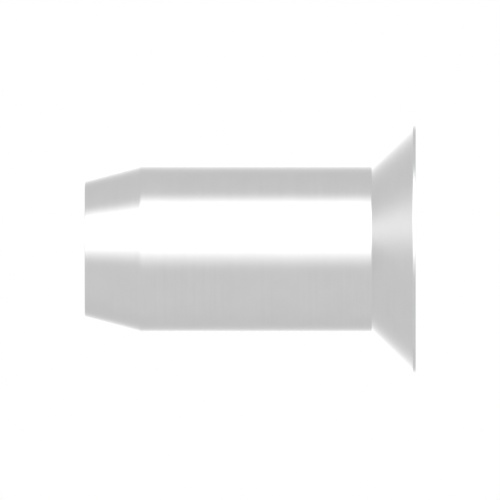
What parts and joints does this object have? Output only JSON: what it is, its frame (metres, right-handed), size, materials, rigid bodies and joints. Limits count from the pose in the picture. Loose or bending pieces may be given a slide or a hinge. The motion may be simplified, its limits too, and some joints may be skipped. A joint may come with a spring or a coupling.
{
  "type": "countersunk blind rivet nut",
  "caption": "Smooth round metal rivet nut with a countersunk head, a tapered open nose, a thin folding sleeve and an internal screw thread for fixing into thin sheet.",
  "frame": {"origin": "centre of the head's flat face, on the nut's axis", "axes": "+Z along the axis, from the head's flat face to the open nose; X and Y are any two directions across the axis, because the nut is a body of revolution"},
  "size_m": [0.009, 0.009, 0.012],
  "materials": {
    "zinc_plated_steel": "bright zinc plate on smooth cold-formed steel, satin, neutral light grey"
  },
  "bodies": {
    "root": {"rivet_nut": "zinc_plated_steel"}
  },
  "joints": []
}
